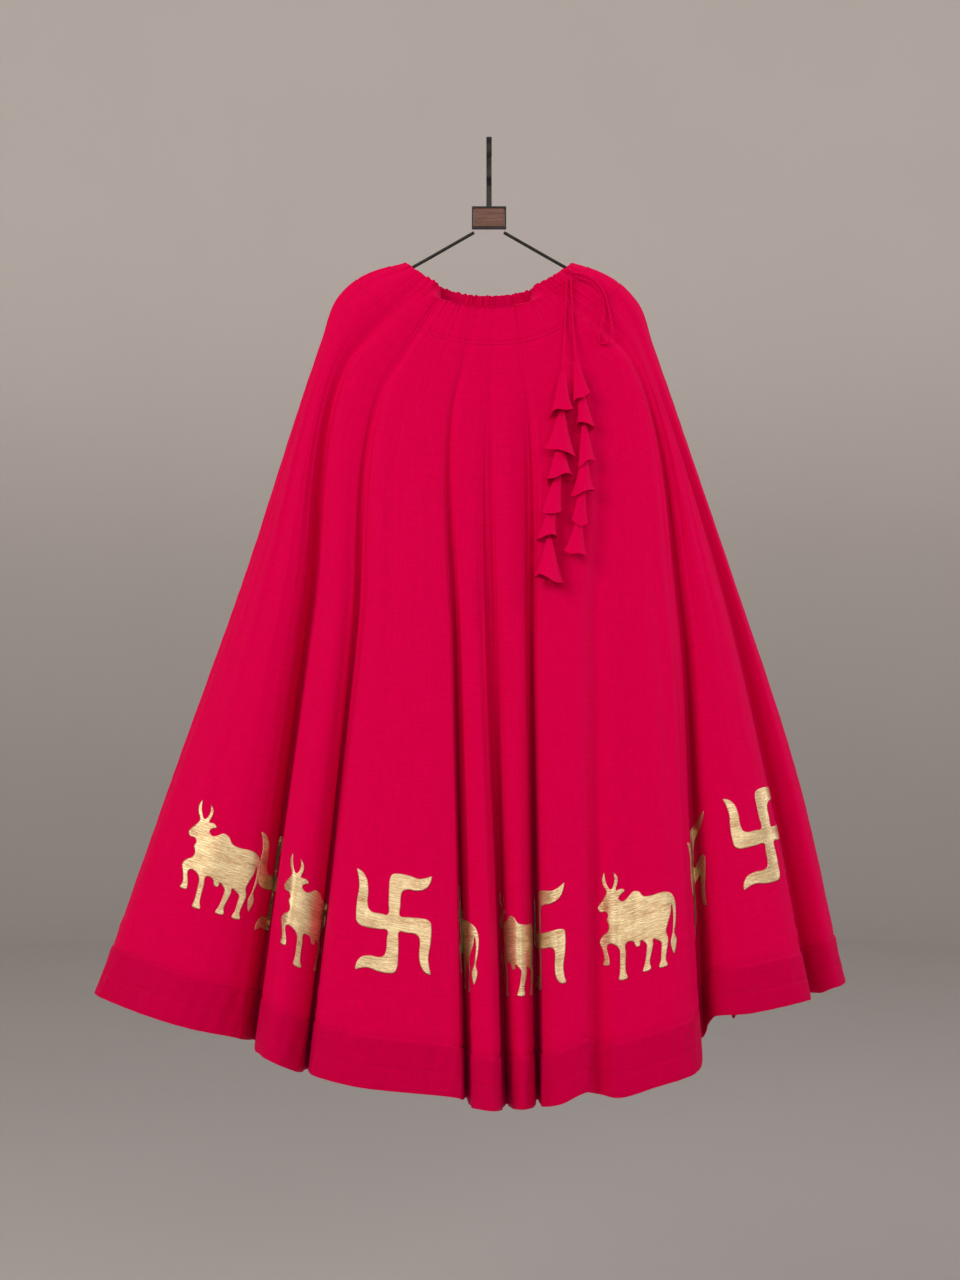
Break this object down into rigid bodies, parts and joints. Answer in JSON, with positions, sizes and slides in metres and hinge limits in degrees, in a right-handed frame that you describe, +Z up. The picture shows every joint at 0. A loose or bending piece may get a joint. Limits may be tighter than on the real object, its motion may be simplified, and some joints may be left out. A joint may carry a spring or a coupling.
{
  "type": "lehenga skirt on a hanger",
  "caption": "Long flared panelled skirt with a gathered drawstring waist, tasselled ties and a banded hem, hung in deep flutes from a hanger with a block and wire arms.",
  "frame": {"origin": "The highest point under the hanger's hook, where it rests on a rail.", "axes": "+Z up, -Y towards a person who looks at the front of the skirt, +X to that person's right."},
  "size_m": [0.975, 0.318, 1.2476],
  "materials": {
    "silk": "smooth fine plain-woven silk, rose red, with woven gold figures",
    "piping": "narrow rolled cloth cord in the skirt's own silk",
    "tassel_cloth": "small stitched cloth bells in the skirt's own silk",
    "gold_zari": "woven gold thread, ribbed and softly crinkled, half gloss",
    "dark_metal": "near-black metal, half gloss",
    "dark_wood": "brown wood, satin"
  },
  "bodies": {
    "root": {"waist_casing_front": "silk", "yoke_front": "silk", "kali_front_1": "silk", "kali_front_2": "silk", "kali_front_3": "silk", "kali_front_4": "silk", "kali_front_5": "silk", "kali_front_6": "silk", "hem_band_front_1": "silk", "hem_band_front_2": "silk", "hem_band_front_3": "silk", "waist_casing_back": "silk", "yoke_back": "silk", "kali_back_1": "silk", "kali_back_2": "silk", "kali_back_3": "silk", "kali_back_4": "silk", "kali_back_5": "silk", "kali_back_6": "silk", "hem_band_back_1": "silk", "hem_band_back_2": "silk", "hem_band_back_3": "silk", "drawstring_knot": "piping", "drawstring_end_left": "piping", "drawstring_end_right": "piping", "drawstring_loop": "piping", "tassel_left_bell_1": "tassel_cloth", "tassel_left_bell_2": "tassel_cloth", "tassel_left_bell_3": "tassel_cloth", "tassel_left_bell_4": "tassel_cloth", "tassel_left_bell_5": "tassel_cloth", "tassel_left_bell_6": "tassel_cloth", "tassel_right_bell_1": "tassel_cloth", "tassel_right_bell_2": "tassel_cloth", "tassel_right_bell_3": "tassel_cloth", "tassel_right_bell_4": "tassel_cloth", "tassel_right_bell_5": "tassel_cloth", "tassel_right_bell_6": "tassel_cloth", "hanger_hook": "dark_metal", "hanger_block_frame": "dark_metal", "hanger_block_inlay": "dark_wood", "hanger_arm_left": "dark_metal", "hanger_arm_right": "dark_metal"}
  },
  "joints": []
}
